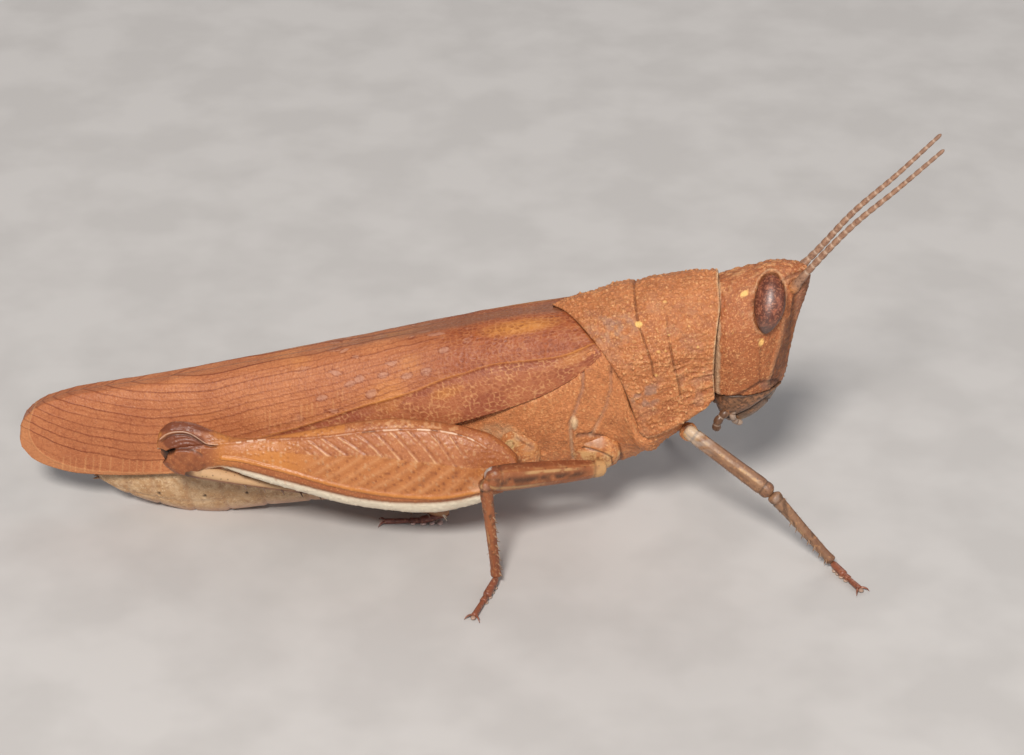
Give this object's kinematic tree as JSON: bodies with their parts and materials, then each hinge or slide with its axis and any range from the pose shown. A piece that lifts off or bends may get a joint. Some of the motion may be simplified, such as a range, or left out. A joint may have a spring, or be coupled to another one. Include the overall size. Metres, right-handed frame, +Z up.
{
  "type": "grasshopper",
  "caption": "Life-size gumleaf-type grasshopper standing still, long leaf-shaped wings folded over the back, hind legs folded, feelers raised.",
  "frame": {"origin": "on the ground under the middle of the whole animal's box", "axes": "+X is forward, from the wing tips towards the head; +Y is the animal's left side; +Z is up"},
  "size_m": [0.0478, 0.021, 0.0228],
  "materials": {
    "cuticle": "satin, finely pitted orange-brown shell",
    "forewing": "thin leathery wing, red-brown, veined, satin",
    "hindwing": "folded smoky membrane, satin",
    "belly": "cream-tan shell, satin",
    "eye": "smooth mottled dark red-brown",
    "antenna": "tan-brown with pale joints, matte",
    "leg": "orange-brown shell with cream bands, satin",
    "foot": "dark red-brown shell, satin",
    "mouth": "olive-brown shell, satin"
  },
  "bodies": {
    "root": {"abdomen_front": "belly", "abdomen_middle": "belly", "abdomen_rear": "belly", "antenna_left": "antenna", "antenna_right": "antenna", "eye_left": "eye", "eye_right": "eye", "fore_coxa_left": "belly", "fore_coxa_right": "belly", "fore_femur_left": "leg", "fore_femur_right": "leg", "fore_tarsus_left": "foot", "fore_tarsus_right": "foot", "fore_tibia_left": "leg", "fore_tibia_right": "leg", "forewing_left": "forewing", "forewing_right": "forewing", "head": "cuticle", "hind_coxa_left": "cuticle", "hind_coxa_right": "cuticle", "hind_femur_left": "leg", "hind_femur_right": "leg", "hind_tarsus_left": "foot", "hind_tarsus_right": "foot", "hind_tibia_left": "leg", "hind_tibia_right": "leg", "hindwing_left": "hindwing", "hindwing_right": "hindwing", "labrum": "mouth", "mandible_left": "mouth", "mandible_right": "mouth", "mid_coxa_left": "belly", "mid_coxa_right": "belly", "mid_femur_left": "leg", "mid_femur_right": "leg", "mid_tarsus_left": "foot", "mid_tarsus_right": "foot", "mid_tibia_left": "leg", "mid_tibia_right": "leg", "ovipositor": "belly", "palps_left": "mouth", "palps_right": "mouth", "pronotum": "cuticle", "thorax": "cuticle"}
  },
  "joints": []
}
